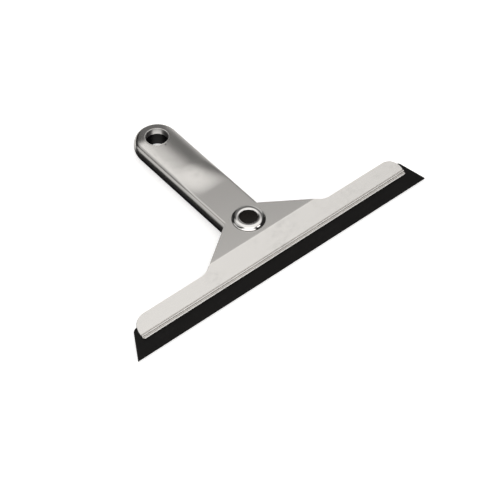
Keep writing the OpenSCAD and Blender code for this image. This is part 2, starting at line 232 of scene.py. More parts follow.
def rounded_profile(corners: Sequence[tuple[float, float, float]], steps: int = 5) -> Array:
    """A closed outline whose corners are rounded by arcs.

    Each corner (a, b, r) is cut back by the tangent length of a circle of radius r, and that
    circle's arc, swung between the two tangent points, takes its place.

    Args:
        corners: Corner points with their radii, in order.
        steps: Number of segments in each arc.

    Returns:
        Points of shape (n, 2).
    """
    points = np.array([c[:2] for c in corners], float)
    made = []
    for here, before, after, (_, _, radius) in zip(
            points, np.roll(points, 1, 0), np.roll(points, -1, 0), corners):
        if radius <= 0.0:
            made.append(here[None])
            continue
        back = (before - here) / np.linalg.norm(before - here)
        on = (after - here) / np.linalg.norm(after - here)
        half = math.acos(float(np.clip(back @ on, -1.0, 1.0))) / 2.0
        middle = (back + on) / np.linalg.norm(back + on)
        centre = here + middle * radius / math.sin(half)
        start, stop = (here + leg * radius / math.tan(half) - centre for leg in (back, on))
        t = np.linspace(0.0, 1.0, steps + 1)[:, None]
        swing = math.pi - 2.0 * half
        arc = (np.sin((1.0 - t) * swing) * start + np.sin(t * swing) * stop) / math.sin(swing)
        made.append(centre + arc)
    return np.concatenate(made)


def bevel(piece: bpy.types.Object, width: float, segments: int = 3, angle_deg: float = 75.0) -> None:
    """Rounds a piece's edges with a Bevel modifier.

    Args:
        piece: The piece.
        width: Distance of the rounding from the edge.
        segments: Steps across the rounding.
        angle_deg: Only edges that turn by more than this are rounded.
    """
    made = piece.modifiers.new("rounded_edges", "BEVEL")
    made.width = width
    made.segments = segments
    made.limit_method = "ANGLE"
    made.angle_limit = math.radians(angle_deg)
    made.harden_normals = True


def thicken(piece: bpy.types.Object, wall: float) -> None:
    """Gives an open surface a wall that grows inwards, with a Solidify modifier."""
    made = piece.modifiers.new("wall", "SOLIDIFY")
    made.thickness = wall
    made.offset = -1.0


def settle(piece: bpy.types.Object) -> None:
    """Applies a piece's modifiers, so that its mesh is final."""
    seen = piece.evaluated_get(bpy.context.evaluated_depsgraph_get())
    mesh = bpy.data.meshes.new_from_object(seen)
    mesh.name = piece.name
    piece.modifiers.clear()
    piece.data = mesh


def cut(piece: bpy.types.Object, cutters: Sequence[bpy.types.Object], sharp_deg: float) -> None:
    """Cuts other objects out of a piece and removes them.

    Args:
        piece: The piece to cut.
        cutters: Closed objects.
        sharp_deg: Edges that turn by more than this are shaded sharp afterwards.
    """
    for cutter in cutters:
        made = piece.modifiers.new("cut", "BOOLEAN")
        made.object = cutter
        made.operation = "DIFFERENCE"
        made.solver = "EXACT"
    settle(piece)
    for cutter in cutters:
        bpy.data.objects.remove(cutter)
    piece.data.shade_smooth()
    piece.data.set_sharp_from_angle(angle=math.radians(sharp_deg))


def rounded_copy(node: str, width: float) -> bpy.types.Object:
    """A copy of a CAD node with rounded edges.

    Args:
        node: Name of the CAD node.
        width: Distance of the rounding from the edges.

    Returns:
        The copy, which stands for the node.
    """
    turn_deg = 40.0
    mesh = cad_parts[node].data.copy()
    mesh.materials.clear()
    clean(mesh, flat_deg=0.5)
    made = new_object(node + "_finished", mesh, turn_deg)
    bevel(made, width, segments=2, angle_deg=turn_deg)
    return made


# ---------------------------------------------------------------- shader groups


@dataclass
class Graph:
    """A node tree with short ways to add nodes to it."""

    tree: bpy.types.NodeTree

    def add(self, kind: str, inputs: dict[str | int, Setting] | None = None,
            **settings: object) -> bpy.types.Node:
        """Adds a node.

        Args:
            kind: Its type name without the ShaderNode prefix.
            inputs: Socket name or number to a value, or to the socket that feeds it.
            **settings: The node's own properties.

        Returns:
            The new node.
        """
        node = self.tree.nodes.new("ShaderNode" + kind)
        for name, value in settings.items():
            setattr(node, name, value)
        self.feed(node, inputs or {})
        return node

    def feed(self, node: bpy.types.Node, inputs: dict[str | int, Setting]) -> None:
        """Links a node's inputs to the sockets given for them, or sets their constants."""
        for key, value in inputs.items():
            socket = node.inputs[key]
            if isinstance(value, bpy.types.NodeSocket):
                self.tree.links.new(value, socket)
            elif socket.type == "RGBA":
                socket.default_value = (*value, 1.0)
            else:
                socket.default_value = value

    def math(self, operation: str, *values: float | bpy.types.NodeSocket) -> bpy.types.NodeSocket:
        """Adds a Math node with its inputs in order and returns its result."""
        return self.add("Math", dict(enumerate(values)), operation=operation).outputs[0]

    def spread(self, value: bpy.types.NodeSocket, low: float, high: float,
               to_low: float = 0.0, to_high: float = 1.0) -> bpy.types.NodeSocket:
        """Carries low..high smoothly to to_low..to_high with a Map Range node."""
        inputs = {"Value": value, 1: low, 2: high, 3: to_low, 4: to_high}
        return self.add("MapRange", inputs, interpolation_type="SMOOTHSTEP").outputs[0]

    def noise(self, place: Setting, scale: Setting, detail: float = 3.0,
              roughness: float = 0.5) -> bpy.types.NodeSocket:
        """Adds a Noise Texture and returns its grey value."""
        inputs = {"Vector": place, "Scale": scale, "Detail": detail, "Roughness": roughness}
        return self.add("TexNoise", inputs).outputs["Fac"]

    def mixed(self, mask: Setting, first: Setting, second: Setting) -> bpy.types.NodeSocket:
        """Mixes two colours by a mask and returns the result."""
        inputs = {0: mask, 6: first, 7: second}
        return self.add("Mix", inputs, data_type="RGBA").outputs[2]


@dataclass(frozen=True)
class SharedEffect:
    """An effect that several materials use: a node group that is built once.

    Its inputs are numbers with a usual value, or vectors where that is None.
    """

    name: str
    inputs: dict[str, float | None]
    output: str
    wire: Callable[[Graph, dict[str, bpy.types.NodeSocket]], bpy.types.NodeSocket]

    def group(self) -> bpy.types.NodeTree:
        """The effect's node group, made at its first use."""
        tree = bpy.data.node_groups.get(self.name)
        if tree is not None:
            return tree
        tree = bpy.data.node_groups.new(self.name, "ShaderNodeTree")
        for name, value in self.inputs.items():
            kind = "NodeSocketVector" if value is None else "NodeSocketFloat"
            socket = tree.interface.new_socket(name, in_out="INPUT", socket_type=kind)
            if value is not None:
                socket.default_value = value
        tree.interface.new_socket(self.output, in_out="OUTPUT", socket_type="NodeSocketFloat")
        graph = Graph(tree)
        entry = tree.nodes.new("NodeGroupInput")
        leave = tree.nodes.new("NodeGroupOutput")
        result = self.wire(graph, {s.name: s for s in entry.outputs if s.name})
        tree.links.new(result, leave.inputs[0])
        return tree

    def use(self, graph: Graph, inputs: dict[str, Setting]) -> bpy.types.NodeSocket:
        """Places the effect in a material.

        Args:
            graph: The material's graph.
            inputs: Values or sockets for its named inputs.

        Returns:
            The effect's output.
        """
        node = graph.tree.nodes.new("ShaderNodeGroup")
        node.node_tree = self.group()
        graph.feed(node, inputs)
        return node.outputs[0]


def wire_grain(graph: Graph, at: dict[str, bpy.types.NodeSocket]) -> bpy.types.NodeSocket:
    """Noise drawn out along X: the place is scaled by scale, and by scale over stretch along X."""
    along = graph.math("DIVIDE", at["Scale"], at["Stretch"])
    scale = graph.add("CombineXYZ", {0: along, 1: at["Scale"], 2: at["Scale"]}).outputs[0]
    place = graph.add("VectorMath", {0: at["Place"], 1: scale}, operation="MULTIPLY").outputs[0]
    return graph.noise(place, 1.0, detail=4.0, roughness=0.6)


def wire_wear(graph: Graph, at: dict[str, bpy.types.NodeSocket]) -> bpy.types.NodeSocket:
    """Edges, found where a rounded normal leaves the true one, broken up by noise."""
    rounded = graph.add("Bevel", {"Radius": at["Radius"]}, samples=4).outputs[0]
    true = graph.add("NewGeometry").outputs["Normal"]
    same = graph.add("VectorMath", {0: rounded, 1: true}, operation="DOT_PRODUCT").outputs["Value"]
    edge = graph.spread(graph.math("SUBTRACT", 1.0, same), 0.01, 0.22)
    patches = graph.spread(graph.noise(at["Place"], at["Scale"], detail=5.0), 0.35, 0.65)
    return graph.math("MULTIPLY", graph.math("MULTIPLY", edge, patches), at["Amount"])


def wire_marks(graph: Graph, at: dict[str, bpy.types.NodeSocket]) -> bpy.types.NodeSocket:
    """Handling marks: broad soft patches times finer streaks."""
    broad = graph.spread(graph.noise(at["Place"], at["Scale"], detail=2.0), 0.42, 0.72)
    fine_scale = graph.math("MULTIPLY", at["Scale"], 6.0)
    fine = graph.spread(graph.noise(at["Place"], fine_scale, detail=4.0), 0.3, 0.75)
    return graph.math("MULTIPLY", graph.math("MULTIPLY", broad, fine), at["Amount"])


def wire_dust(graph: Graph, at: dict[str, bpy.types.NodeSocket]) -> bpy.types.NodeSocket:
    """Dust: specks and a thin film on faces that look up."""
    normal = graph.add("NewGeometry").outputs["Normal"]
    upward = graph.spread(graph.add("SeparateXYZ", {0: normal}).outputs[2], 0.2, 0.95)
    specks = graph.spread(graph.noise(at["Place"], at["Scale"], detail=2.0), 0.66, 0.74)
    film_scale, film_most = 45.0, 0.35
    film = graph.spread(graph.noise(at["Place"], film_scale, detail=4.0), 0.4, 0.8, 0.0, film_most)
    both = graph.math("MAXIMUM", specks, film)
    return graph.math("MULTIPLY", graph.math("MULTIPLY", both, upward), at["Amount"])


GRAIN = SharedEffect(
    "drawn_grain", {"Place": None, "Scale": 4000.0, "Stretch": 1.0}, "Grain", wire_grain)
WEAR = SharedEffect(
    "edge_wear", {"Place": None, "Radius": 0.4 * MM, "Scale": 400.0, "Amount": 1.0}, "Wear",
    wire_wear)
MARKS = SharedEffect(
    "handling_marks", {"Place": None, "Scale": 40.0, "Amount": 1.0}, "Marks", wire_marks)
DUST = SharedEffect(
    "settled_dust", {"Place": None, "Scale": 2500.0, "Amount": 1.0}, "Dust", wire_dust)


# ---------------------------------------------------------------- finishes


class Cut(Enum):
    """How a metal surface was worked: how far its grain is drawn out along X."""

    BRUSHED = 60.0
    BLASTED = 1.0


@dataclass
class Look:
    """What a finish hands to its shader: colour, roughness, relief and the shader's constants."""

    base: bpy.types.NodeSocket
    rough: Setting
    relief: bpy.types.NodeSocket
    depth: float
    constants: dict[str, float]


def object_place(graph: Graph) -> bpy.types.NodeSocket:
    """The surface point in the piece's own coordinates."""
    return graph.add("TexCoord").outputs["Object"]


@dataclass(frozen=True)
class Finish:
    """What all finishes share: a name, a slot name, and the shader they end in."""

    name: str
    slot: str
    colour: Colour
    roughness: float

    def look(self, graph: Graph) -> Look:
        """Wires the patterns. Each kind of finish has its own."""
        raise NotImplementedError

    def around(self, graph: Graph, pattern: bpy.types.NodeSocket, half: float,
               less: float) -> bpy.types.NodeSocket:
        """Roughness that follows a pattern.

        Args:
            graph: The material's graph.
            pattern: The pattern's grey value.
            half: How far the pattern's range reaches on either side of a half.
            less: How far the roughness goes on either side of the finish's own.

        Returns:
            The roughness.
        """
        return graph.spread(pattern, 0.5 - half, 0.5 + half, self.roughness - less,
                            self.roughness + less)

    def material(self) -> bpy.types.Material:
        """The finish's material, made at its first use: its look in one Principled shader."""
        found = bpy.data.materials.get(self.name)
        if found is not None:
            return found
        material = bpy.data.materials.new(self.name)
        material.use_nodes = True
        graph = Graph(material.node_tree)
        graph.tree.nodes.clear()
        look = self.look(graph)
        bump = graph.add("Bump", {"Height": look.relief, "Strength": 1.0, "Distance": look.depth})
        shader = graph.add("BsdfPrincipled", {
            "Base Color": look.base, "Roughness": look.rough, "Normal": bump.outputs[0],
            **look.constants})
        graph.add("OutputMaterial", {"Surface": shader.outputs[0]})
        return material


@dataclass(frozen=True)
class MetalFinish(Finish):
    """Bare or plated metal with worked grain, handling marks and bright worn edges."""

    worked: Cut
    worn: Colour
    grain_scale: float
    grain_depth: float
    grain_spread: float
    marks: float
    wear: float
    dulling: float = 0.93
    marks_rough: float = 0.1

    def look(self, graph: Graph) -> Look:
        """Marks dull the metal and roughen it, and wear brightens its edges."""
        place = object_place(graph)
        grain = GRAIN.use(graph, {"Place": place, "Scale": self.grain_scale,
                                  "Stretch": self.worked.value})
        marks = MARKS.use(graph, {"Place": place, "Amount": self.marks})
        wear = WEAR.use(graph, {"Place": place, "Amount": self.wear})
        dull = tuple(c * self.dulling for c in self.colour)
        base = graph.mixed(wear, graph.mixed(marks, self.colour, dull), self.worn)
        fine = self.around(graph, grain, 0.25, self.grain_spread)
        rough = graph.math("MULTIPLY_ADD", marks, self.marks_rough, fine)
        return Look(base, rough, grain, self.grain_depth, {"Metallic": 1.0})


@dataclass(frozen=True)
class PlasticFinish(Finish):
    """Black moulded plastic with a spark-eroded texture, dust and rubbed edges."""

    rubbed: Colour
    texture_scale: float
    texture_depth: float
    gloss: float
    dust: float
    dust_colour: Colour = (0.32, 0.31, 0.29)
    dust_rough: float = 0.3
    rub_radius: float = 0.5 * MM
    rub: float = 0.6

    def look(self, graph: Graph) -> Look:
        """Rubbed edges are paler, and dust lies over all."""
        place = object_place(graph)
        texture = GRAIN.use(graph, {"Place": place, "Scale": self.texture_scale})
        wear = WEAR.use(graph, {"Place": place, "Radius": self.rub_radius, "Amount": self.rub})
        dust = DUST.use(graph, {"Place": place, "Amount": self.dust})
        base = graph.mixed(dust, graph.mixed(wear, self.colour, self.rubbed), self.dust_colour)
        fine = self.around(graph, texture, 0.2, 0.06)
        rough = graph.math("MULTIPLY_ADD", dust, self.dust_rough, fine)
        return Look(base, rough, texture, self.texture_depth, {"Specular IOR Level": self.gloss})


@dataclass(frozen=True)
class RubberFinish(Finish):
    """Moulded rubber: fine drag lines along its length, a grey bloom and a little dust.

    The pattern reads the piece's own rest places, so it stays on the rubber as it bends.
    """

    bloom: Colour
    line_scale: float
    line_depth: float
    gloss: float
    dust: float
    dust_colour: Colour = (0.24, 0.23, 0.22)
    line_stretch: float = 90.0
    pore_scale: float = 6500.0
    bloom_scale: float = 70.0
    bloom_amount: float = 0.7

    def look(self, graph: Graph) -> Look:
        """Bloom greys the rubber in patches, and its relief is lines with half as deep pores."""
        place = graph.add("Attribute", attribute_name=REST_PLACE).outputs["Vector"]
        lines = GRAIN.use(graph, {"Place": place, "Scale": self.line_scale,
                                  "Stretch": self.line_stretch})
        pores = GRAIN.use(graph, {"Place": place, "Scale": self.pore_scale, "Stretch": 1.0})
        marks = MARKS.use(graph, {"Place": place, "Scale": self.bloom_scale,
                                  "Amount": self.bloom_amount})
        dust = DUST.use(graph, {"Place": place, "Amount": self.dust})
        base = graph.mixed(dust, graph.mixed(marks, self.colour, self.bloom), self.dust_colour)
        rough = graph.spread(lines, 0.3, 0.7, self.roughness - 0.05, self.roughness + 0.07)
        relief = graph.math("MULTIPLY_ADD", pores, 0.5, lines)
        return Look(base, rough, relief, self.line_depth, {"Specular IOR Level": self.gloss})


@dataclass(frozen=True)
class FibreFinish(Finish):
    """Pressed fibre sheet: dark, matt, with short threads."""

    thread: Colour
    thread_scale: float = 3800.0
    thread_stretch: float = 7.0
    thread_depth: float = 0.03 * MM
    gloss: float = 0.2

    def look(self, graph: Graph) -> Look:
        """Threads are paler than the sheet and stand out of it."""
        threads = GRAIN.use(graph, {"Place": object_place(graph), "Scale": self.thread_scale,
                                    "Stretch": self.thread_stretch})
        base = graph.mixed(graph.spread(threads, 0.45, 0.7), self.colour, self.thread)
        return Look(base, self.roughness, threads, self.thread_depth,
                    {"Specular IOR Level": self.gloss})


SHEET_STEEL = MetalFinish(
    "satin_sheet", "sheet_steel", (0.80, 0.785, 0.765), 0.2, Cut.BRUSHED,
    worn=(0.9, 0.89, 0.87), grain_scale=5200.0, grain_depth=0.0006 * MM, grain_spread=0.03,
    marks=0.5, wear=0.6)
GRIP_METAL = replace(
    SHEET_STEEL, name="satin_casting", slot="grip_metal", worked=Cut.BLASTED,
    worn=(0.88, 0.87, 0.85), marks=0.6, wear=0.4)
POLISHED = MetalFinish(
    "bright_plating", "polished", (0.88, 0.87, 0.86), 0.05, Cut.BLASTED,
    worn=(0.92, 0.91, 0.89), grain_scale=2600.0, grain_depth=0.0002 * MM, grain_spread=0.015,
    marks=0.3, wear=0.2)
FASTENER_STEEL = MetalFinish(
    "screw_steel", "fastener_steel", (0.62, 0.61, 0.59), 0.3, Cut.BLASTED,
    worn=(0.8, 0.79, 0.77), grain_scale=4200.0, grain_depth=0.002 * MM, grain_spread=0.06,
    marks=0.8, wear=0.9)
CLAMP_STEEL = replace(
    FASTENER_STEEL, name="brushed_clamp", colour=(0.66, 0.65, 0.63), roughness=0.32,
    worked=Cut.BRUSHED, worn=(0.82, 0.81, 0.79))
EYELET_SATIN = replace(
    POLISHED, name="satin_plating", colour=(0.86, 0.85, 0.83), roughness=0.36,
    grain_depth=0.0004 * MM, grain_spread=0.05, marks=0.6, wear=0.3)
INSERT_BRASS = replace(
    FASTENER_STEEL, name="turned_brass", slot="insert_brass", colour=(0.72, 0.53, 0.24),
    roughness=0.25, worn=(0.85, 0.68, 0.38), grain_spread=0.05, marks=0.5, wear=0.6)
BLACK_MOULDING = PlasticFinish(
    "matt_moulding", "black_moulding", (0.003, 0.003, 0.003), 0.42, rubbed=(0.02, 0.02, 0.02),
    texture_scale=3600.0, texture_depth=0.006 * MM, gloss=0.2, dust=0.03)
BLACK_CAP = PlasticFinish(
    "cap_gloss", "black_cap", (0.0055, 0.0038, 0.0026), 0.22, rubbed=(0.03, 0.026, 0.022),
    texture_scale=2400.0, texture_depth=0.0015 * MM, gloss=0.22, dust=0.04)
BLADE_RUBBER = RubberFinish(
    "moulded_rubber", "blade_rubber", (0.0034, 0.0031, 0.0029), 0.5, bloom=(0.007, 0.0064, 0.006),
    line_scale=5200.0, line_depth=0.006 * MM, gloss=0.18, dust=0.012)
GASKET_FIBRE = FibreFinish(
    "pressed_fibre", "gasket_fibre", (0.008, 0.007, 0.006), 0.75, thread=(0.03, 0.027, 0.024))


def dress(piece: bpy.types.Object, finish: Finish, body: Body | None,
          stands_for: Sequence[str] = ()) -> None:
    """Gives a piece its finish and its place in the assembly.

    Args:
        piece: The piece, at its place.
        finish: Its finish.
        body: The body it rides on, or None for a piece that is attached to no body.
        stands_for: CAD nodes that it is shown in place of.
    """
    piece.data.materials.clear()
    piece.data.materials.append(finish.material())
    if body is not None:
        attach(piece, body.value)
    if stands_for:
        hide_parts(*stands_for)
    LOG.info("%-22s %-16s %6d faces", piece.name, finish.name, len(piece.data.polygons))


def repaint(node: str, finish: Finish) -> None:
    """Gives a CAD node that is shown as it is a finished material."""
    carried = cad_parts[node]
    if not carried.material_slots:
        carried.data.materials.append(finish.material())
    for slot in carried.material_slots:
        slot.material = finish.material()
    LOG.info("%-22s %-16s kept from the frame", node, finish.name)


# ---------------------------------------------------------------- places


@dataclass(frozen=True)
class Layout:
    """The places and sizes that the sub-assemblies share."""

    joint_y: float
    face_z: float
    hole_y: float
    plate_t: float = 1.5 * MM
    bend_to_joint: float = 17.7 * MM
    tilt: float = math.radians(25.0)

    @classmethod
    def from_frame(cls) -> "Layout":
        """Reads the joint's axis, the plate's top face and the hanging hole."""
        ring_low, ring_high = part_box("joint_ring")
        gasket_low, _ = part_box("ring_gasket")
        eyelet_low, eyelet_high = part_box("hang_eyelet")
        return cls(joint_y=(ring_low.y + ring_high.y) / 2.0, face_z=gasket_low.z,
                   hole_y=(eyelet_low.y + eyelet_high.y) / 2.0)

    @property
    def bend_y(self) -> float:
        """The line where the bar is bent down."""
        return self.joint_y - self.bend_to_joint

    def on_bar(self, x: Array, slant: Array, depth: Array | float) -> Array:
        """Places points given in the bar's tilted frame.

        y = bend - slant cos(tilt) + depth sin(tilt), z = face - slant sin(tilt) - depth cos(tilt).

        Args:
            x: Places along the bar.
            slant: Distances down the slope from the bend.
            depth: Distances below the bar's face.

        Returns:
            Points with a last axis of 3.
        """
        x, slant, depth = np.broadcast_arrays(x, slant, depth)
        sin, cos = math.sin(self.tilt), math.cos(self.tilt)
        return np.stack([x, self.bend_y - slant * cos + depth * sin,
                         self.face_z - slant * sin - depth * cos], axis=-1)


# ---------------------------------------------------------------- head plate


@dataclass(frozen=True)
class HeadPlate:
    """The pressed plate: tongue, gusset and the bent bar with its two beads."""

    at: Layout
    tongue_r: float = 16.9 * MM
    gusset_angle: float = math.radians(55.3)
    fillet_r: float = 18.0 * MM
    bar_rear: float = 4.6 * MM
    bar_front: float = 23.0 * MM
    corner_r: float = 12.0 * MM
    lip_r: float = 3.0 * MM
    bead_w: float = 1.9 * MM
    bead_h: float = 0.65 * MM
    groove_w: float = 0.65 * MM
    groove_d: float = 0.5 * MM
    bend_run: float = 0.35 * MM
    rim_round: float = 0.22 * MM
    centre_columns: int = 49
    wing_columns: int = 22
    tongue_steps: int = 22
    gusset_steps: int = 24
    bend_steps: int = 9
    fillet_steps: int = 12
    corner_steps: int = 16
    groove_steps: int = 9
    bead_steps: int = 15

    @property
    def bar_half(self) -> float:
        """Half of the bar's length."""
        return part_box("head_plate")[1].x

    @property
    def gusset_half(self) -> float:
        """Half of the gusset's width at the bend."""
        return (self.tongue_r / math.cos(self.gusset_angle)
                + self.at.bend_to_joint * math.tan(self.gusset_angle))

    @property
    def fillet_centre(self) -> tuple[float, float]:
        """Centre of the fillet between gusset and wing, as x and slant distance."""
        slant = self.bar_rear - self.fillet_r
        x = (self.gusset_half + slant * math.tan(self.gusset_angle)
             + self.fillet_r / math.cos(self.gusset_angle))
        return x, slant

    def centre_half_width(self, s: Array) -> Array:
        """Half width of the plate's middle part at a distance s from the bend.

        A circle round the joint, then the gusset's straight edge, then the fillet's circle, and
        from the wings' rear edge on a constant.
        """
        y = -s - self.at.bend_to_joint
        circle = np.sqrt(np.maximum(self.tongue_r**2 - y**2, 0.0))
        straight = self.gusset_half + s * math.tan(self.gusset_angle)
        x, slant = self.fillet_centre
        fillet = x - np.sqrt(np.maximum(self.fillet_r**2 - (s - slant)**2, 0.0))
        touch = slant + self.fillet_r * math.sin(self.gusset_angle)
        parts = [y >= self.tongue_r * math.sin(self.gusset_angle), s <= touch, s < self.bar_rear]
        return np.select(parts, [circle, straight, fillet], default=x)

    def wing_end(self, s: Array) -> Array:
        """The bar's outer edge at a slant distance s: a rear corner, a straight and a lip corner."""
        rear_c = self.bar_rear + self.corner_r
        front_c = self.bar_front - self.lip_r
        rear = np.sqrt(np.maximum(self.corner_r**2 - np.minimum(s - rear_c, 0.0)**2, 0.0))
        front = np.sqrt(np.maximum(self.lip_r**2 - np.maximum(s - front_c, 0.0)**2, 0.0))
        return self.bar_half - (self.corner_r - rear) - (self.lip_r - front)

    def rows(self) -> tuple[Array, Array]:
        """The rows' distances from the bend and their heights above the face.

        A groove is half a wave, -depth sin(pi t). A bead is a circle's arc of its width and
        height. The other rows lie on the face, closer where the outline turns.
        """
        turn = np.linspace(math.pi / 2, self.gusset_angle, self.tongue_steps)
        tongue = -self.at.bend_to_joint - self.tongue_r * np.sin(turn)
        sweep = np.linspace(self.gusset_angle, math.pi / 2, self.fillet_steps)
        fillet = self.fillet_centre[1] + self.fillet_r * np.sin(sweep)
        quarter = np.linspace(0, math.pi / 2, self.corner_steps)
        corner = self.bar_rear + self.corner_r * (1 - np.cos(quarter))
        groove_1 = self.bar_front - 2 * (self.bead_w + self.groove_w)
        flat = joined(tongue, np.linspace(tongue[-1], -self.bend_run, self.gusset_steps),
                      np.linspace(-self.bend_run, self.bend_run, self.bend_steps),
                      fillet, corner, [groove_1])
        bead_r = (self.bead_w**2 / 4 + self.bead_h**2) / (2 * self.bead_h)
        half_turn = math.asin(self.bead_w / 2 / bead_r)
        swing = np.linspace(-half_turn, half_turn, self.bead_steps)[1:]
        t = np.linspace(0, 1, self.groove_steps)[1:]
        s, h = [flat], [np.zeros_like(flat)]
        for groove in (groove_1, groove_1 + self.groove_w + self.bead_w):
            s += [groove + self.groove_w * t,
                  groove + self.groove_w + self.bead_w / 2 + bead_r * np.sin(swing)]
            h += [-self.groove_d * np.sin(math.pi * t),
                  self.bead_h - bead_r + bead_r * np.cos(swing)]
        return np.concatenate(s), np.concatenate(h)

    def place(self, x: Array, s: Array, h: Array | float) -> Array:
        """Bends the flat pattern: level before the bend, tilted after it, round between.

        The angle grows evenly over the bend's run, so the face follows a circle there. The height
        h stands on the face along its normal (0, -sin, cos).
        """
        x, s, h = np.broadcast_arrays(x, s, h)
        run, tilt = self.bend_run, self.at.tilt
        radius = 2 * run / tilt
        angle = tilt * np.clip((s + run) / (2 * run), 0.0, 1.0)
        before, after = np.minimum(s + run, 0.0), np.maximum(s - run, 0.0)
        y = self.at.bend_y + run - before - radius * np.sin(angle) - after * math.cos(tilt)
        z = self.at.face_z - radius * (1 - np.cos(angle)) - after * math.sin(tilt)
        return np.stack([x, y - h * np.sin(angle), z + h * np.cos(angle)], axis=-1)

    def build(self) -> None:
        """Builds the plate's faces and rim, rounds its edges and dresses it."""
        s, h = self.rows()
        split = int(np.argmax(s >= self.bar_rear - 0.1 * MICROMETRE))
        patches = Patchwork()
        across = np.linspace(-1, 1, self.centre_columns)
        centre_x = self.centre_half_width(s)[:, None] * across
        top = self.place(centre_x, s[:, None], h[:, None])
        low = self.place(centre_x, s[:, None], -self.at.plate_t)
        patches.add_slab(top, low, (-1, np.s_[:split + 1, 0], np.s_[:split + 1, -1]))
        out = np.linspace(0, 1, self.wing_columns)
        root = self.fillet_centre[0]
        wing_s, wing_h = s[split:, None], h[split:, None]
        wing_x = root + (self.wing_end(wing_s) - root) * out
        for side in (-1.0, 1.0):
            top = self.place(side * wing_x, wing_s, wing_h)
            low = self.place(side * wing_x, wing_s, -self.at.plate_t)
            patches.add_slab(top, low, (0, -1, np.s_[:, -1]))
        plate = patches.build("head_plate_pressed", sharp_deg=50.0)
        bevel(plate, self.rim_round, segments=3)
        dress(plate, SHEET_STEEL, Body.SQUEEGEE, ["head_plate"])


# ---------------------------------------------------------------- grip


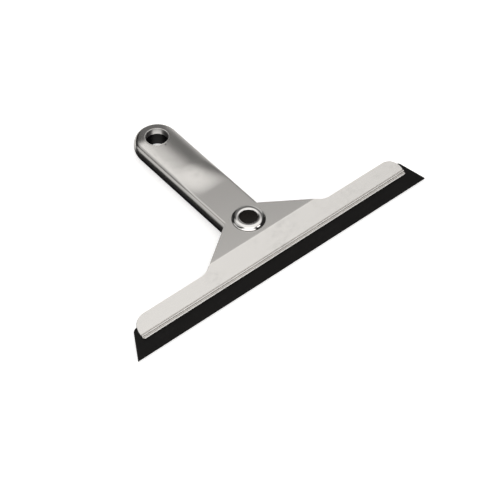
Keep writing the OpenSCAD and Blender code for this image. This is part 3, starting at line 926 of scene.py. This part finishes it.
@dataclass(frozen=True)
class GripForm:
    """The outer form that the grip's shell and back share.

    A section stands across the grip. Its top is an arc that is flat near the joint and crowned
    towards the hole, then come a shoulder, a round side, and a corner into the flat bottom. The
    sections run along the middle line and fan out round both ends.
    """

    at: Layout
    half_w: float
    side_r: float = 14.0 * MM
    side_z: float = 9.0 * MM
    base_half_w: float = 14.5 * MM
    crown_h: float = 2.2 * MM
    crown_r: float = 60.0 * MM
    crown_start: float = 44.0 * MM
    crown_full: float = 78.0 * MM
    shoulder_flat: float = 1.8 * MM
    shoulder_crown: float = 5.0 * MM
    front_y: float = 3.5 * MM
    flattest: float = 0.0005
    flat_steps: int = 14
    rise_steps: int = 40
    crown_steps: int = 12
    hole_steps: int = 22
    end_steps: int = 49
    front_steps: int = 33

    @property
    def top_z(self) -> float:
        """Height of the flat top, below the plate."""
        return self.at.face_z - self.at.plate_t

    @property
    def hole_from_joint(self) -> float:
        """Distance from the joint to the hanging hole."""
        return self.at.hole_y - self.at.joint_y

    @property
    def side_x(self) -> float:
        """Distance of the side curve's centre from the middle."""
        return self.half_w - self.side_r

    @property
    def base_r(self) -> float:
        """Radius of the corner that touches the side curve from within and the flat bottom."""
        reach = self.base_half_w - self.side_x
        return (self.side_r**2 - self.side_z**2 - reach**2) / (2 * (self.side_r - self.side_z))

    @property
    def base_turn(self) -> float:
        """Angle between straight down and the point where side and corner meet."""
        return math.atan2(self.base_half_w - self.side_x, self.side_z - self.base_r)

    def crown_top(self, x: Array, share: Array | float) -> Array:
        """Height of the top at x from the middle, on an arc of radius crown_r / share."""
        big = self.crown_r / np.maximum(share, self.flattest)
        return self.top_z + share * self.crown_h - big + np.sqrt(big**2 - x**2)

    def stations(self, hole_r: float) -> tuple[Array, Array, Array]:
        """Where the sections stand, as a closed loop round the grip.

        Args:
            hole_r: Radius of the opening that the sections begin at, where they meet it.

        Returns:
            Distance from the joint, turn about the upright axis, and inner end of each section.
            Beside the hole the inner end is x = sqrt(r*r - d*d), on its circle.
        """
        end = self.hole_from_joint
        beside = end - hole_r * np.cos(np.linspace(0, math.pi / 2, self.hole_steps))
        along = joined(np.linspace(self.front_y, self.crown_start, self.flat_steps),
                       np.linspace(self.crown_start, self.crown_full, self.rise_steps),
                       np.linspace(self.crown_full, beside[0], self.crown_steps), beside)
        fan = np.linspace(0, math.pi, self.end_steps)[1:-1]
        front_fan = np.linspace(0, math.pi, self.front_steps)[1:-1]
        inner = np.sqrt(np.maximum(hole_r**2 - (along - end)**2, 0.0))
        ones = np.ones_like(fan)
        y = np.concatenate([along, end * ones, along[::-1],
                            np.full_like(front_fan, self.front_y)])
        turn = np.concatenate([0 * along, fan, np.full_like(along, math.pi), math.pi + front_fan])
        start = np.concatenate([inner, hole_r * ones, inner[::-1], 0 * front_fan])
        return y, turn, start

    def share(self, y: Array) -> Array:
        """How much of its full height the crown has at a distance y from the joint."""
        return smooth_rise(y, self.crown_start, self.crown_full)

    def upper(self, y: Array, inner: Array, low_z: float, columns: tuple[int, int, int]) -> Array:
        """The sections from their inner ends over the top and down the side to a height.

        The shoulder's circle touches the top's arc and the side's circle from within, so its
        centre is where circles of the differences of the radii cross.

        Args:
            y: Distance of each section from the joint.
            inner: Where each section begins.
            low_z: Height where the sections end.
            columns: Numbers of steps over the top, the shoulder and the side.

        Returns:
            Points (x, z) of shape (sections, columns, 2).
        """
        share = self.share(y)
        big = self.crown_r / np.maximum(share, self.flattest)
        low = np.stack([0 * y, self.top_z + share * self.crown_h - big], -1)
        shoulder = self.shoulder_flat + (self.shoulder_crown - self.shoulder_flat) * share
        side = np.array([self.side_x, self.side_z])
        gap = side - low
        length = np.linalg.norm(gap, axis=-1)
        unit = gap / length[:, None]
        a, b = big - shoulder, self.side_r - shoulder
        along = (a**2 - b**2 + length**2) / (2 * length)
        off = np.sqrt(a**2 - along**2)
        normal = np.stack([unit[:, 1], -unit[:, 0]], -1)
        centre = low + along[:, None] * unit + off[:, None] * normal
        a0 = np.arcsin(centre[:, 0] / a)
        a1 = np.arctan2(centre[:, 0] - side[0], centre[:, 1] - side[1])
        a2 = np.full_like(a0, math.acos((low_z - self.side_z) / self.side_r))
        arcs = [(low, big, np.arcsin(inner / big), a0), (centre, shoulder, a0, a1),
                (side[None], np.full_like(a0, self.side_r), a1, a2)]
        return np.concatenate([self.swing(c, r, start, stop, n)[:, k > 0:]
                               for k, ((c, r, start, stop), n) in enumerate(zip(arcs, columns))], 1)

    def lower(self, inner: Array, high_z: float, columns: tuple[int, int, int]) -> Array:
        """The sections from a height down the side, round the corner and in over the bottom.

        Args:
            inner: Where each section ends.
            high_z: Height where the sections begin.
            columns: Numbers of steps down the side, round the corner and over the bottom.

        Returns:
            Points (x, z) of shape (sections, columns, 2).
        """
        one = np.ones_like(inner)
        start = math.acos((high_z - self.side_z) / self.side_r)
        side = self.swing(np.array([[self.side_x, self.side_z]]), self.side_r * one,
                          start * one, (math.pi - self.base_turn) * one, columns[0])
        corner = self.swing(np.array([[self.base_half_w, self.base_r]]), self.base_r * one,
                            (math.pi - self.base_turn) * one, math.pi * one, columns[1])
        t = np.linspace(0, 1, columns[2] + 1)[1:]
        x = self.base_half_w + (inner[:, None] - self.base_half_w) * t
        flat = np.stack([x, np.zeros_like(x)], -1)
        return np.concatenate([side, corner[:, 1:], flat], axis=1)

    @staticmethod
    def swing(centre: Array, radius: Array, start: Array, stop: Array, steps: int) -> Array:
        """Arcs centre + radius (sin a, cos a) from start to stop, one for each section."""
        t = np.linspace(0, 1, steps + 1)
        angle = start[:, None] + (stop - start)[:, None] * t
        offset = radius[:, None, None] * np.stack([np.sin(angle), np.cos(angle)], -1)
        return centre[:, None, :] + offset

    def stand(self, section: Array, y: Array, turn: Array) -> Array:
        """Stands sections up: x goes to (x cos turn, y + x sin turn), and z stays the height."""
        x, z = section[..., 0], section[..., 1]
        return np.stack([x * np.cos(turn)[:, None],
                         self.at.joint_y + y[:, None] + x * np.sin(turn)[:, None], z], axis=-1)


@dataclass(frozen=True)
class Grip:
    """The grip: metal shell, moulded back, the hanging hole's eyelet and three screws."""

    at: Layout
    parting_z: float = 8.4 * MM
    seam: float = 0.12 * MM
    wall: float = 1.5 * MM
    hole_r: float = 9.6 * MM
    eyelet_t: float = 0.8 * MM
    eyelet_low: float = 12.0 * MM
    eyelet_roll: float = 0.2 * MM
    shell_columns: tuple[int, int, int] = (18, 9, 16)
    back_columns: tuple[int, int, int] = (14, 8, 12)
    eyelet_steps: int = 192
    eyelet_rows: int = 8
    collar_t: float = 2.8 * MM
    collar_low: float = 0.2 * MM
    collar_gap: float = 0.1 * MM
    collar_round: float = 0.2 * MM
    screw_hole_r: float = 1.75 * MM
    screw_head_r: float = 3.25 * MM
    screw_sink: float = 0.5 * MM
    screw_cone: float = 1.7 * MM
    screw_round: float = 0.12 * MM
    screws: int = 3

    @property
    def form(self) -> GripForm:
        """The form that shell and back share, as wide as the frame's grip."""
        return GripForm(self.at, half_w=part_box("grip_back")[1].x)

    def build_shell(self) -> None:
        """Builds the metal shell above the parting line, with its rim turned in a little."""
        form, rim = self.form, self.hole_r + self.eyelet_t
        y, turn, inner = form.stations(rim)
        section = form.upper(y, inner, self.parting_z + self.seam, self.shell_columns)
        tucked = section[:, -1:] + np.array([-self.seam, -self.seam])
        patches = Patchwork()
        patches.add(form.stand(np.concatenate([section, tucked], axis=1), y, turn), loop_rows=True)
        shell = patches.build("grip_shell_cast", sharp_deg=60.0)
        thicken(shell, self.wall)
        dress(shell, GRIP_METAL, Body.SQUEEGEE, ["grip_shell"])

    def build_back(self) -> None:
        """Builds the moulded back with the lower part of the hole's wall and its screw sinks."""
        form = self.form
        y, turn, inner = form.stations(self.hole_r)
        section = form.lower(inner, self.parting_z - self.seam, self.back_columns)
        tucked = section[:, :1] + np.array([-self.seam, self.seam])
        patches = Patchwork()
        patches.add(form.stand(np.concatenate([tucked, section], axis=1), y, turn), loop_rows=True)
        back = patches.build("grip_back_moulded", sharp_deg=50.0)
        thicken(back, self.wall)
        settle(back)
        cut(back, [self.screw_sink_shape(i) for i in range(1, self.screws + 1)], sharp_deg=40.0)
        dress(back, BLACK_MOULDING, Body.SQUEEGEE, ["grip_back"])
        outer = self.hole_r + self.collar_t
        low, top, turn_r = self.collar_low, self.eyelet_low - self.collar_gap, self.collar_round
        wall = rounded_profile([(self.hole_r, low, 0.0), (self.hole_r, top, turn_r),
                                (outer, top, turn_r), (outer, low, 0.0)])
        collar = lathe("hole_collar", wall, (0.0, self.at.hole_y))
        dress(collar, BLACK_MOULDING, Body.SQUEEGEE)

    def screw_sink_shape(self, i: int) -> bpy.types.Object:
        """The countersunk hole of one screw through the back, as a solid."""
        low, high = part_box(f"back_screw_{i}")
        below, sink = -self.screw_head_r, self.screw_sink
        profile = np.array([(0.0, below), (self.screw_head_r, below), (self.screw_head_r, sink),
                            (self.screw_hole_r, sink + self.screw_cone),
                            (self.screw_hole_r, self.parting_z), (0.0, self.parting_z)])
        return lathe(f"sink_{i}", profile, ((low.x + high.x) / 2, (low.y + high.y) / 2), 48)

    def build_eyelet(self) -> None:
        """Builds the hole's satin lining, whose rolled rim follows the crown.

        Each station's rim stands on the crown's height there: at x from the middle on the side
        towards the joint, and at the rim's radius on the far side.
        """
        turn = np.linspace(0, 2 * math.pi, self.eyelet_steps, endpoint=False)[:, None]
        half_t = self.eyelet_t / 2
        mid = self.hole_r + half_t
        surface = self.form.crown_top(np.where(np.sin(turn) < 0, mid * np.cos(turn), mid), 1.0)
        roll = np.linspace(math.pi / 2, -math.pi / 2, 13)
        share = np.linspace(0, 1, self.eyelet_rows + 1)[:-1]
        radius = np.concatenate([np.full_like(share, self.hole_r), mid - half_t * np.sin(roll),
                                 [self.hole_r + self.eyelet_t]])
        height = np.concatenate([self.eyelet_low + (surface - self.eyelet_low) * share,
                                 surface + self.eyelet_roll * np.cos(roll),
                                 np.full_like(turn, self.eyelet_low)], axis=1)
        grid = np.stack([np.cos(turn) * radius, self.at.hole_y + np.sin(turn) * radius, height],
                        axis=-1)
        patches = Patchwork()
        patches.add(grid, loop_rows=True, loop_columns=True)
        eyelet = patches.build("hang_eyelet_rolled", sharp_deg=50.0)
        dress(eyelet, EYELET_SATIN, Body.SQUEEGEE, ["hang_eyelet"])

    def build(self) -> None:
        """Builds the whole grip."""
        self.build_shell()
        self.build_back()
        self.build_eyelet()
        for i in range(1, self.screws + 1):
            node = f"back_screw_{i}"
            dress(rounded_copy(node, self.screw_round), FASTENER_STEEL, Body.SQUEEGEE, [node])


# ---------------------------------------------------------------- joint


@dataclass(frozen=True)
class JointStack:
    """The joint: fibre gasket, polished ring, black cap and the hidden screw below them."""

    at: Layout
    gasket_t: float = 0.3 * MM
    ring_r: float = 13.7 * MM
    inner_r: float = 7.6 * MM
    crest_h: float = 2.6 * MM
    edge_h: float = 2.0 * MM
    crest_shift: float = -1.2 * MM
    foot_h: float = 0.15 * MM
    foot_lean: float = math.radians(20.0)
    cap_sink: float = 0.35 * MM
    cap_dome: float = 0.12 * MM
    cap_gap: float = 0.06 * MM
    cap_round: float = 0.35 * MM
    gasket_round: float = 0.135 * MM
    outer_steps: int = 25
    inner_steps: int = 19
    dome_steps: int = 14
    edge_steps: int = 7
    turn_steps: int = 144
    ring_turn_steps: int = 192

    @property
    def centre(self) -> tuple[float, float]:
        """The joint's axis."""
        return 0.0, self.at.joint_y

    @property
    def base_z(self) -> float:
        """Height of the ring's seat on its gasket."""
        return self.at.face_z + self.gasket_t

    def ring_profile(self) -> Array:
        """The ring's section: a short foot, an elliptic arc up to the crest, and a second one in.

        The outer arc runs from the foot's lean a0 to a quarter turn, stretched so that it starts
        at the rim: r = crest + (R - crest) cos a / cos a0, and its height is
        foot + (h - foot) (sin a - sin a0) / (1 - sin a0).
        """
        crest = (self.ring_r + self.inner_r) / 2 + self.crest_shift
        out = np.linspace(self.foot_lean, math.pi / 2, self.outer_steps)
        low = math.sin(self.foot_lean)
        rise = (np.sin(out) - low) / (1 - low)
        outer = np.stack([crest + (self.ring_r - crest) * np.cos(out) / math.cos(self.foot_lean),
                          self.base_z + self.foot_h + (self.crest_h - self.foot_h) * rise],
                         axis=-1)
        outer = np.concatenate([[(self.ring_r, self.base_z)], outer])
        back = np.linspace(math.pi / 2, 0, self.inner_steps)[1:]
        inner = np.stack([self.inner_r + (crest - self.inner_r) * (1 - np.cos(back)),
                          self.base_z + self.edge_h
                          + (self.crest_h - self.edge_h) * np.sin(back)], axis=-1)
        return np.concatenate([outer, inner, [(self.inner_r, self.base_z)]])

    def cap_profile(self) -> Array:
        """The cap's section: a low dome, z = top - dome (r / R)^2, with a rounded edge."""
        radius = self.inner_r - self.cap_gap
        top = self.base_z + self.edge_h - self.cap_sink
        r = np.linspace(0, radius - self.cap_round, self.dome_steps)
        dome = np.stack([r, top - self.cap_dome * (r / radius)**2], axis=-1)
        turn = np.linspace(0, math.pi / 2, self.edge_steps)[1:]
        edge = dome[-1] + self.cap_round * np.stack([np.sin(turn), np.cos(turn) - 1], axis=-1)
        return np.concatenate([dome, edge, [(radius, self.base_z), (0.0, self.base_z)]])

    def build(self) -> None:
        """Builds gasket, ring and cap, and finishes the screw, washer, insert and pins."""
        low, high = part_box("ring_gasket")
        width, top = (high.x - low.x) / 2, high.z
        seat = rounded_profile([(self.inner_r, low.z, 0.0), (width, low.z, 0.0),
                                (width, top, self.gasket_round), (self.inner_r, top, 0.0)])
        for name, profile, finish, node, steps in (
                ("ring_gasket_pressed", seat, GASKET_FIBRE, "ring_gasket", self.turn_steps),
                ("joint_ring_polished", self.ring_profile(), POLISHED, "joint_ring",
                 self.ring_turn_steps),
                ("ring_cap_moulded", self.cap_profile(), BLACK_CAP, "ring_cap", self.turn_steps)):
            dress(lathe(name, profile, self.centre, steps), finish, Body.SQUEEGEE, [node])
        for node in ("main_screw", "spring_washer", "locating_pin_1", "locating_pin_2"):
            repaint(node, FASTENER_STEEL)
        repaint("thread_insert", INSERT_BRASS)


# ---------------------------------------------------------------- wiping blade and clamp


@dataclass(frozen=True)
class WipingBlade:
    """The rubber: one strip with splayed ends that bends in front of the jaws."""

    at: Layout
    thickness: float = 2.4 * MM
    depth: float = 1.55 * MM
    rear: float = 11.2 * MM
    reach: float = 34.1 * MM
    flex: float = 23.6 * MM
    splay: float = math.radians(27.4)
    corner_r: float = 4.0 * MM
    edge_round: float = 0.12 * MM
    bend_before: float = 1.0 * MM
    bend_after: float = 1.2 * MM
    corner_steps: int = 10
    bend_steps: int = 14
    level_steps: int = 8
    columns: int = 61

    @property
    def bend_span(self) -> tuple[float, float]:
        """Slant distances between which the rubber bends."""
        return self.flex - self.bend_before, self.flex + self.bend_after

    def half_length(self, v: Array) -> Array:
        """Half of the rubber's length at a slant distance v.

        A straight edge splayed towards the wiping edge, with a circle at the rear corner.
        """
        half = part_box("blade_lip")[1].x
        straight = half - (self.reach - v) * math.tan(self.splay)
        centre_v = self.rear + self.corner_r
        at_rear = half - (self.reach - self.rear) * math.tan(self.splay)
        centre_x = (at_rear + self.corner_r * math.tan(self.splay)
                    - self.corner_r / math.cos(self.splay))
        round_x = centre_x + np.sqrt(np.maximum(self.corner_r**2 - (v - centre_v)**2, 0.0))
        return np.where(v < centre_v - self.corner_r * math.sin(self.splay), round_x, straight)

    def rows(self) -> Array:
        """Slant distances of the rows, closer round the corner and where the rubber bends."""
        turn = np.linspace(0, math.pi / 2 - self.splay, self.corner_steps)
        corner = self.rear + self.corner_r * (1 - np.cos(turn))
        bend = np.linspace(*self.bend_span, self.bend_steps)
        return joined(corner, np.linspace(corner[-1], bend[0], self.level_steps), bend,
                      np.linspace(bend[-1], self.reach, self.level_steps))

    def build(self) -> None:
        """Builds the strip's six sides, rounds its edges and stores its rest places."""
        v = self.rows()[:, None]
        x = self.half_length(v) * np.linspace(-1, 1, self.columns)
        top = self.at.on_bar(x, v, self.depth)
        low = self.at.on_bar(x, v, self.depth + self.thickness)
        patches = Patchwork()
        patches.add_slab(top, low, (0, -1, np.s_[:, 0], np.s_[:, -1]))
        rubber = patches.build("blade_rubber_strip", sharp_deg=50.0)
        bevel(rubber, self.edge_round, segments=2)
        settle(rubber)
        places = np.empty(len(rubber.data.vertices) * 3, np.float32)
        rubber.data.vertices.foreach_get("co", places)
        rest = rubber.data.attributes.new(REST_PLACE, "FLOAT_VECTOR", "POINT")
        rest.data.foreach_set("vector", places)
        dress(rubber, BLADE_RUBBER, None, ["blade_root", "blade_lip"])
        middle = self.depth + self.thickness / 2
        start, end = (self.at.on_bar(0.0, s, middle) for s in self.bend_span)
        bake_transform(rubber)


@dataclass(frozen=True)
class Clamp:
    """What holds the rubber from below: spacer bar, clamp plate and five screws."""

    spacer_round: float = 0.2 * MM
    plate_round: float = 0.25 * MM
    screw_round: float = 0.1 * MM
    screws: int = 5

    def build(self) -> None:
        """Finishes the clamp's pieces with rounded edges."""
        pieces = [("spacer_bar", self.spacer_round, CLAMP_STEEL),
                  ("clamp_plate", self.plate_round, CLAMP_STEEL)]
        pieces += [(f"clamp_screw_{i}", self.screw_round, FASTENER_STEEL)
                   for i in range(1, self.screws + 1)]
        for node, width, finish in pieces:
            dress(rounded_copy(node, width), finish, Body.SQUEEGEE, [node])


# ---------------------------------------------------------------- studio


@dataclass(frozen=True)
class Softbox:
    """A soft light far away: a disc on the sky that fades from an inner to an outer radius."""

    toward: tuple[float, float, float]
    inner_deg: float
    outer_deg: float
    strength: float


@dataclass(frozen=True)
class Studio:
    """The floor, the soft light and the camera."""

    at: Layout
    azimuth_deg: float = -40.02
    elevation_deg: float = 48.896
    roll_deg: float = 0.146
    distance: float = 1.745
    lens_mm: float = 158.386
    aim: tuple[float, float] = (-20.61 * MM, -26.39 * MM)
    floor_half: float = 4.2
    floor_steps: int = 85
    floor_gap: float = 0.05 * MM
    sweep: tuple[float, float] = (2.2, 4.2)
    sweep_h: float = 2.6
    floor_colour: Colour = (0.8, 0.8, 0.8)
    floor_glow: Colour = (1.0, 0.995, 0.99)
    floor_strength: float = 0.55
    light_tint: Colour = (1.0, 0.985, 0.965)
    fill: float = 0.02
    softboxes: tuple[Softbox, ...] = (
        # Overhead: the flat faces and the crown
        Softbox((0.15, 0.05, 0.98), 24.0, 42.5, 0.96),
        Softbox((-0.05, 0.48, 0.87), 8.0, 18.0, 0.95),
        Softbox((-0.35, 0.45, 0.82), 10.0, 34.0, 0.55),
        Softbox((-0.20, -0.35, 0.90), 18.0, 30.0, 1.2),
        # Round the near side, at the height of the floor and above: the joint ring and shoulders
        Softbox((-0.86, 0.50, 0.00), 14.0, 27.0, 0.62),
        Softbox((-0.62, -0.72, 0.25), 34.0, 48.0, 1.3),
        Softbox((-0.93, -0.10, -0.05), 18.0, 31.0, 1.0),
        # A small one for the tops of the two beads
        Softbox((0.42, -0.66, 0.63), 5.0, 13.0, 1.8),
        # The far side: dim, so that the crown shades off
        Softbox((0.60, 0.60, 0.50), 15.0, 40.0, 0.16),
        Softbox((0.80, 0.50, 0.28), 8.0, 15.0, 0.5),
        # From below, through the hanging hole, onto its lining
        Softbox((-0.42, -0.51, -0.75), 26.0, 38.0, 0.95),
        # Low along the far side: the outer edges of the grip's rounding
        *(Softbox(toward, 13.0, 25.0, 0.85) for toward in (
            (0.92, 0.20, -0.38), (0.74, 0.56, -0.32), (0.40, 0.85, -0.34), (-0.05, 0.93, -0.38))),
    )

    def build_floor(self) -> None:
        """Lays a pale floor just below the tool, swept up all round to close off the view.

        Height is sweep_h t*t*(3 - 2t) - gap, where t goes from 0 to 1 between the two sweep
        radii. Metal reflects the soft light instead of the floor.
        """
        edge = np.linspace(-self.floor_half, self.floor_half, self.floor_steps)
        x, y = np.meshgrid(edge, edge)
        height = self.sweep_h * smooth_rise(np.hypot(x, y), *self.sweep) - self.floor_gap
        patches = Patchwork()
        patches.add(np.stack([x, y, height], axis=-1))
        floor = patches.build("floor")
        if floor.data.polygons[0].normal.z < 0:
            floor.data.flip_normals()
        material = bpy.data.materials.new("pale_floor")
        material.use_nodes = True
        graph = Graph(material.node_tree)
        graph.tree.nodes.clear()
        shader = graph.add("BsdfPrincipled", {
            "Base Color": self.floor_colour, "Roughness": 0.9, "Specular IOR Level": 0.0,
            "Emission Color": self.floor_glow, "Emission Strength": self.floor_strength})
        graph.add("OutputMaterial", {"Surface": shader.outputs[0]})
        floor.data.materials.append(material)
        floor.visible_glossy = False

    def build_light(self) -> None:
        """Lights the scene from the sky: each softbox is a smooth step of the angle to it."""
        world = bpy.data.worlds.new("soft_studio")
        world.use_nodes = True
        bpy.context.scene.world = world
        graph = Graph(world.node_tree)
        graph.tree.nodes.clear()
        direction = graph.add("TexCoord").outputs["Generated"]
        light: bpy.types.NodeSocket | float = self.fill
        for box in self.softboxes:
            toward = tuple(Vector(box.toward).normalized())
            near = graph.add("VectorMath", {0: direction, 1: toward}, operation="DOT_PRODUCT")
            disc = graph.spread(near.outputs["Value"], math.cos(math.radians(box.outer_deg)),
                                math.cos(math.radians(box.inner_deg)), 0.0, box.strength)
            light = graph.math("MAXIMUM", disc, light)
        sky = graph.add("Background", {"Color": self.light_tint, "Strength": light})
        graph.add("OutputWorld", {"Surface": sky.outputs[0]})

    def build_camera(self) -> None:
        """Stands the camera on a long lens, looking down along the tool's diagonal."""
        azimuth, elevation = math.radians(self.azimuth_deg), math.radians(self.elevation_deg)
        back = Vector((math.sin(azimuth) * math.cos(elevation),
                       -math.cos(azimuth) * math.cos(elevation), math.sin(elevation)))
        right = Vector((math.cos(azimuth), math.sin(azimuth), 0.0))
        turn = Matrix((right, back.cross(right), back)).transposed()
        roll = Matrix.Rotation(math.radians(self.roll_deg), 3, "Z")
        target = Vector((self.aim[0], self.at.joint_y + self.aim[1], self.at.face_z))
        data = bpy.data.cameras.new("camera")
        data.lens = self.lens_mm
        camera = bpy.data.objects.new("camera", data)
        place = Matrix.Translation(target + back * self.distance)
        camera.matrix_world = place @ (turn @ roll).to_4x4()
        bpy.context.scene.collection.objects.link(camera)
        bpy.context.scene.camera = camera

    def build(self) -> None:
        """Builds the studio."""
        self.build_camera()
        self.build_floor()
        self.build_light()
        bpy.context.scene.view_settings.view_transform = "Standard"
        LOG.info("studio with %d softboxes", len(self.softboxes))


def main() -> None:
    """Builds the studio and then each sub-assembly of the squeegee."""
    logging.basicConfig(level=logging.INFO, format="%(message)s")
    at = Layout.from_frame()
    for part in (Studio(at), HeadPlate(at), Grip(at), JointStack(at), WipingBlade(at), Clamp()):
        LOG.info("-- %s", type(part).__name__)
        part.build()


if __name__ == "__main__":
    main()
